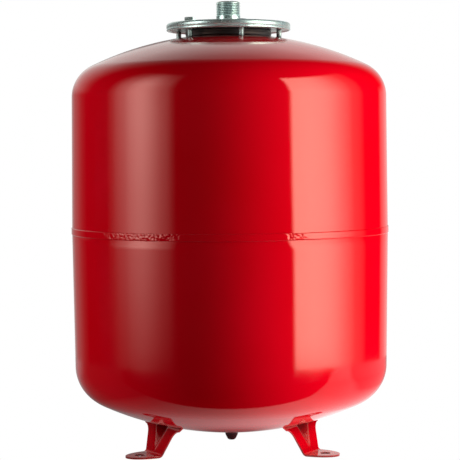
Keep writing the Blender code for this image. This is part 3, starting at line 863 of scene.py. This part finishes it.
def make_legs():
    """Three sheet legs, each with its pad's hole cut and its edges broken."""
    for side, angle in LEG_ANGLES.items():
        leg = new_object(side + "_leg", leg_mesh(side + "_leg"))
        sheet = leg.modifiers.new("sheet", "SOLIDIFY")
        sheet.thickness = LEG_SHEET
        sheet.offset = -1.0
        bpy.ops.mesh.primitive_cylinder_add(vertices=48, radius=PAD_HOLE_R, depth=12 * MM,
                                            location=(PAD_HOLE_RHO, 0.0, 0.0))
        hole = bpy.context.object
        cut = leg.modifiers.new("hole", "BOOLEAN")
        cut.operation = "DIFFERENCE"
        cut.object = hole
        soft = leg.modifiers.new("edges", "BEVEL")
        soft.width = 0.45 * MM
        soft.segments = 3
        soft.limit_method = "ANGLE"
        soft.angle_limit = math.radians(50.0)
        apply_modifiers(leg)
        bpy.data.objects.remove(hole, do_unlink=True)
        leg.data.shade_smooth()
        leg.data.set_sharp_from_angle(angle=math.radians(40.0))
        leg.rotation_euler = (0.0, 0.0, math.radians(angle - 90.0))
        finish_piece(leg, "vessel", ["leg_" + side], RED_PAINT)


# ---------------------------------------------------------------- air valve

def make_valve():
    """The steel bush in the vessel's bottom and the threaded brass stem in it."""
    boss_low, boss_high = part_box("valve_boss")
    collar_top = boss_low.z + 2.6 * MM
    boss_r = 6.0 * MM
    boss_bore_r = 4.4 * MM
    boss = rounded([(boss_r, boss_high.z), (boss_r, collar_top), (boss_high.x, collar_top),
                    (boss_high.x, boss_low.z), (boss_bore_r, boss_low.z), (boss_bore_r, boss_high.z)],
                   0.5 * MM)
    piece = turned("valve_bush", boss, 72)
    finish_piece(piece, "vessel", ["valve_boss"], BARE_STEEL)

    stem_low, stem_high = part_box("valve_stem")
    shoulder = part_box("valve_cap")[1].z + 0.5 * MM
    thread_r = 3.85 * MM
    body_r = stem_high.x
    bore_r = 2.65 * MM
    neck_r = 1.9 * MM
    chamfer = 0.4 * MM
    profile = [(neck_r, stem_high.z), (body_r, stem_high.z), (body_r, shoulder)]
    profile += divided(profile[-1], (thread_r, shoulder - chamfer), 2)
    profile += divided(profile[-1], (thread_r, stem_low.z + chamfer), 64)
    profile += divided(profile[-1], (thread_r - chamfer, stem_low.z), 2)
    profile += [(bore_r, stem_low.z), (bore_r, stem_high.z - 1.0 * MM), (neck_r, stem_high.z - 0.8 * MM)]
    helix = thread_shift(shoulder - 0.6 * MM, stem_low.z - 1.0 * MM, STEM_THREAD_PITCH, STEM_THREAD_DEPTH)

    def outside_only(angle, r, z):
        return helix(angle, r, z) if r > thread_r - 0.05 * MM and z < shoulder else (r, z)

    piece = turned("valve_stem_threaded", profile, 60, outside_only, 50.0)
    finish_piece(piece, "vessel", ["valve_stem"], BRASS)


# (mm below the top of the skirt, share of the skirt's radius)
CAP_OUTLINE = ((0.0, 0.94), (0.25, 1.0), (1.3, 0.985), (2.6, 0.96), (4.8, 0.851), (7.2, 0.689), (8.6, 0.568),
               (9.3, 0.405), (9.4, 0.189), (9.4, 0.0))


def make_cap():
    """Dust cap: a blunt moulded cone with fine grip ridges round its skirt."""
    low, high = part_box("valve_cap")
    skirt_r = high.x
    height = high.z - low.z
    bore_r = 4.15 * MM
    bore_end = low.z + 1.9 * MM
    full_depth = CAP_OUTLINE[-1][0]
    profile = []
    for (down, share), (next_down, next_share) in zip(CAP_OUTLINE, CAP_OUTLINE[1:]):
        for step in range(4):
            t = step / 4
            z = high.z - (down + (next_down - down) * t) * height / full_depth
            profile.append((skirt_r * (share + (next_share - share) * t), z))
    profile.append((0.0, low.z))
    profile += [(0.0, bore_end), (bore_r, bore_end), (bore_r, high.z)]
    ridges = 30
    ridge_depth = 0.3 * MM

    def ribbed(angle, r, z):
        down = (high.z - z) / height
        grip = smooth_ramp(down, 0.02, 0.1) * (1.0 - smooth_ramp(down, 0.62, 0.8))
        if r < bore_r + ridge_depth:
            return r, z
        return r - ridge_depth * grip * (0.5 - 0.5 * math.cos(ridges * angle)), z

    cap = turned("dust_cap", profile, 240, ribbed, 50.0)
    finish_piece(cap, "valve_cap", ["valve_cap"], CAP_PLASTIC)


def finish_cad_nodes():
    """CAD nodes whose shape stays as it is get their final material."""
    looks = {"counter_ring": ZINC, "valve_core": BRASS, "valve_pin": BRASS, "valve_spring": SPRING_STEEL,
             "pin_seal": SEAL, "cap_seal": SEAL}
    for name, material in looks.items():
        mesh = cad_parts[name].data
        mesh.materials.clear()
        mesh.materials.append(material)


# ---------------------------------------------------------------- stage, light and camera

FLOOR_RADIUS = 0.815
FLOOR_DROP = 0.2 * MM
FLOOR_FRONT_Y = (-0.180, -0.172)
FLOOR_SCATTER = 0.085

# How brightly the gloss sees the floor: (x, brightness) and (distance from the axis, share); the share paints
# the vessel's shadow on the floor
FLOOR_ALONG_X = [(-0.20, 0.03), (-0.13, 0.20), (-0.06, 0.55), (0.00, 0.85), (0.05, 1.15), (0.10, 1.35),
                 (0.15, 1.20), (0.20, 0.90), (0.45, 0.85), (0.75, 1.10)]
FLOOR_UNDER_VESSEL = [(0.0, 0.10), (0.025, 0.16), (0.045, 0.38), (0.066, 0.60), (0.085, 0.66), (0.13, 1.0)]


def floor_glow(graph, place):
    """The floor's brightness for everything but the camera, by its place."""
    split = graph.add("ShaderNodeSeparateXYZ")
    graph.put(split.inputs[0], place)
    x = split.outputs["X"]
    y = split.outputs["Y"]
    radius = graph.math("SQRT", graph.math("ADD", graph.product(x, x), graph.product(y, y)))
    # painted shadow: as the gloss sees it, the floor darkens close under the vessel
    under = graph.curve(radius, FLOOR_UNDER_VESSEL)

    # far behind on the left it is brighter again, and behind on the right it is dimmer
    slanted = graph.math("ADD", y, graph.product(x, 0.9))
    behind_left = graph.curve(slanted, [(-0.25, 0.0), (-0.14, 0.06), (0.02, 0.28), (0.20, 0.35)])
    behind_left = graph.product(behind_left, graph.span(x, -0.10, -0.25))
    lit = graph.math("ADD", graph.curve(x, FLOOR_ALONG_X), behind_left)
    behind_right = graph.product(graph.span(y, -0.07, -0.02), graph.span(x, 0.20, 0.27))
    dimmed = graph.math("SUBTRACT", 1.0, graph.product(behind_right, 0.6))

    # the lit floor ends in front of the vessel, and reaches a little further forward on the right
    forward = graph.math("ADD", y, graph.curve(x, [(0.16, 0.0), (0.24, 0.02), (0.64, 0.115), (0.74, 0.075)]))
    front_edge = graph.span(forward, *FLOOR_FRONT_Y, smooth=True)
    return graph.product(lit, dimmed, under, front_edge)


def make_floor():
    """A pale floor. Seen directly it is evenly white; the vessel mirrors it and gets its bounced light."""
    mesh = bpy.data.meshes.new("floor")
    work = bmesh.new()
    bmesh.ops.create_circle(work, cap_ends=True, segments=96, radius=FLOOR_RADIUS)
    work.to_mesh(mesh)
    work.free()
    floor = bpy.data.objects.new("floor", mesh)
    bpy.context.scene.collection.objects.link(floor)
    floor.location.z = -FLOOR_DROP

    material = bpy.data.materials.new("pale_floor")
    material.use_nodes = True
    graph = Graph(material.node_tree)
    glow = floor_glow(graph, graph.add("ShaderNodeTexCoord").outputs["Object"])
    path = graph.add("ShaderNodeLightPath")
    direct = path.outputs["Is Camera Ray"]
    unseen = graph.math("SUBTRACT", 1.0, direct)
    scattered = graph.product(path.outputs["Is Diffuse Ray"], FLOOR_SCATTER)
    indirect = graph.math("ADD", graph.product(unseen, glow), scattered)
    emission = graph.add("ShaderNodeEmission")
    graph.put(emission.inputs["Strength"], graph.math("ADD", direct, indirect))

    # from below it is clear, so that the feet can be seen
    one_sided = graph.add("ShaderNodeMixShader")
    graph.put(one_sided.inputs[0], graph.add("ShaderNodeNewGeometry").outputs["Backfacing"])
    graph.put(one_sided.inputs[1], emission.outputs["Emission"])
    graph.put(one_sided.inputs[2], graph.add("ShaderNodeBsdfTransparent").outputs["BSDF"])
    output = graph.add("ShaderNodeOutputMaterial")
    graph.put(output.inputs["Surface"], one_sided.outputs["Shader"])
    mesh.materials.append(material)


# What the gloss mirrors of the studio, one light after the other: its brightness by azimuth, then its share
# by elevation. Angles are in degrees, the azimuth from the front towards +X.
RIGHT_BOX = (
    [(43.5, 0.0), (46.5, 6.2), (60.0, 6.4), (68.0, 5.8), (77.0, 4.4), (88.0, 2.2), (100.0, 0.6), (108.0, 0.3),
     (114.0, 0.0)],
    [(-9.5, 0.0), (-9.1, 0.88), (-8.0, 0.95), (0.0, 1.0), (33.0, 0.8), (38.0, 0.76), (43.0, 0.0)])
LEFT_STRIP = (
    [(-98.0, 0.0), (-92.0, 0.3), (-86.0, 1.1), (-80.0, 1.8), (-75.0, 3.0), (-69.0, 3.9), (-64.0, 4.0),
     (-59.0, 3.3), (-54.0, 2.3), (-50.0, 1.5), (-45.0, 0.9), (-41.0, 0.25), (-38.0, 0.0)],
    [(-9.5, 0.0), (-8.5, 0.18), (-7.3, 0.27), (-5.9, 0.40), (-1.0, 0.72), (2.0, 1.0), (25.0, 0.93),
     (35.0, 0.65), (45.0, 0.3), (54.0, 0.03), (58.0, 0.0)])
BACKDROP = (
    [(-180.0, 1.0), (-170.0, 0.95), (-159.0, 0.72), (-146.0, 0.54), (-135.0, 0.32), (-126.0, 0.1),
     (-119.0, 0.0), (145.0, 0.0), (152.0, 0.12), (159.0, 0.38), (164.0, 0.52), (170.0, 0.8), (180.0, 1.0)],
    [(3.0, 0.0), (9.0, 1.0), (31.0, 1.15), (35.0, 0.97), (42.0, 0.65), (46.0, 0.4), (55.0, 0.2), (60.0, 0.1),
     (75.0, 0.0)])
LOW_WALL = (
    [(-180.0, 0.6), (-171.0, 0.57), (-158.0, 0.33), (-150.0, 0.23), (-144.0, 0.2), (-133.0, 0.06),
     (-125.0, 0.0), (138.0, 0.0), (142.0, 0.3), (148.0, 0.45), (156.0, 0.6), (180.0, 0.65)],
    [(3.0, 1.0), (9.0, 0.0)])
BLUE_SHARE = [(-180.0, 0.97), (-100.0, 0.94), (38.0, 0.94), (46.0, 0.84), (120.0, 0.84), (150.0, 0.97)]
DIFFUSE_AMBIENT = [(12.0, 0.44), (42.0, 0.05)]
FAR_LEFT_DIMMING = 0.72
SECOND_MIRROR_DEPTH = 2.5
SECOND_MIRROR_LIGHT = 0.7
SUN_SPREAD = 25.0


def mirrored_light(graph, azimuth, elevation):
    """The sum of the four lights."""
    leaning = graph.math("ADD", azimuth, graph.span(elevation, -8.0, 8.0, -1.6, 1.6))
    total = graph.product(graph.curve(leaning, RIGHT_BOX[0]), graph.curve(elevation, RIGHT_BOX[1]))
    for along, upward in (LEFT_STRIP, BACKDROP, LOW_WALL):
        light = graph.product(graph.curve(azimuth, along), graph.curve(elevation, upward))
        total = graph.math("ADD", total, light)

    # the far left of the backdrop is dim close to the floor
    far_left = graph.product(graph.span(azimuth, -172.0, -175.0), graph.span(elevation, 16.0, 13.0))
    kept = graph.math("SUBTRACT", 1.0, graph.product(far_left, FAR_LEFT_DIMMING))
    return graph.product(total, kept)


def make_world():
    """A white studio: evenly white for the camera, the lights for the gloss, a soft glow for the rest."""
    world = bpy.data.worlds.new("studio")
    bpy.context.scene.world = world
    world.use_nodes = True
    graph = Graph(world.node_tree)
    split = graph.add("ShaderNodeSeparateXYZ")
    graph.put(split.inputs[0], graph.add("ShaderNodeTexCoord").outputs["Generated"])
    frontward = graph.product(split.outputs["Y"], -1.0)
    azimuth = graph.math("DEGREES", graph.math("ARCTAN2", split.outputs["X"], frontward))
    elevation = graph.math("DEGREES", graph.math("ARCSINE", split.outputs["Z"]))

    # things seen in a mirror image of their own are lit by the whole bright room
    path = graph.add("ShaderNodeLightPath")
    second = graph.math("GREATER_THAN", path.outputs["Ray Depth"], SECOND_MIRROR_DEPTH)
    mirrored = graph.math("ADD", mirrored_light(graph, azimuth, elevation),
                          graph.product(second, SECOND_MIRROR_LIGHT))
    glossy = graph.product(path.outputs["Is Glossy Ray"], mirrored)
    diffuse = graph.product(path.outputs["Is Diffuse Ray"], graph.curve(elevation, DIFFUSE_AMBIENT))
    direct = path.outputs["Is Camera Ray"]
    strength = graph.math("ADD", direct, graph.math("ADD", glossy, diffuse))

    colour = graph.add("ShaderNodeCombineColor")
    colour.inputs[0].default_value = 1.0
    colour.inputs[1].default_value = 1.0
    graph.put(colour.inputs[2], graph.math("MAXIMUM", direct, graph.curve(azimuth, BLUE_SHARE)))
    background = graph.add("ShaderNodeBackground")
    graph.put(background.inputs["Color"], colour.outputs[0])
    graph.put(background.inputs["Strength"], strength)
    output = graph.add("ShaderNodeOutputWorld")
    graph.put(output.inputs["Surface"], background.outputs["Background"])


def make_sun(name, azimuth, elevation, strength):
    """Soft light from an azimuth counted from the front towards +X. Only diffuse surfaces see it."""
    light = bpy.data.lights.new(name, "SUN")
    light.energy = strength
    light.angle = math.radians(SUN_SPREAD)
    lamp = bpy.data.objects.new(name, light)
    bpy.context.scene.collection.objects.link(lamp)
    flat = math.cos(math.radians(elevation))
    towards = Vector((math.sin(math.radians(azimuth)) * flat, -math.cos(math.radians(azimuth)) * flat,
                      math.sin(math.radians(elevation))))
    lamp.rotation_euler = towards.to_track_quat("Z", "Y").to_euler()
    lamp.visible_glossy = False


def make_camera():
    """A long lens in front of the vessel, a little above its middle and looking slightly down."""
    data = bpy.data.cameras.new("camera")
    data.sensor_width = 36.0
    data.lens = CAMERA_LENS
    camera = bpy.data.objects.new("camera", data)
    bpy.context.scene.collection.objects.link(camera)
    tilt = Matrix.Rotation(math.pi / 2 - CAMERA_DOWN, 4, "X") @ Matrix.Rotation(CAMERA_ROLL, 4, "Z")
    camera.matrix_world = Matrix.Translation(CAMERA_PLACE) @ tilt
    bpy.context.scene.camera = camera


# ---------------------------------------------------------------- build

make_upper_body()
make_lower_body()
make_seam_bead()
make_flange()
make_nipple()
make_nipple_fillet()
make_bolts()
make_bladder()
make_legs()
make_valve()
make_cap()
finish_cad_nodes()
make_floor()
make_world()
make_sun("key_right", azimuth=83.0, elevation=1.0, strength=6.0)
make_sun("fill_left", azimuth=-100.0, elevation=1.0, strength=1.6)
make_camera()
bpy.context.scene.view_settings.view_transform = "Standard"
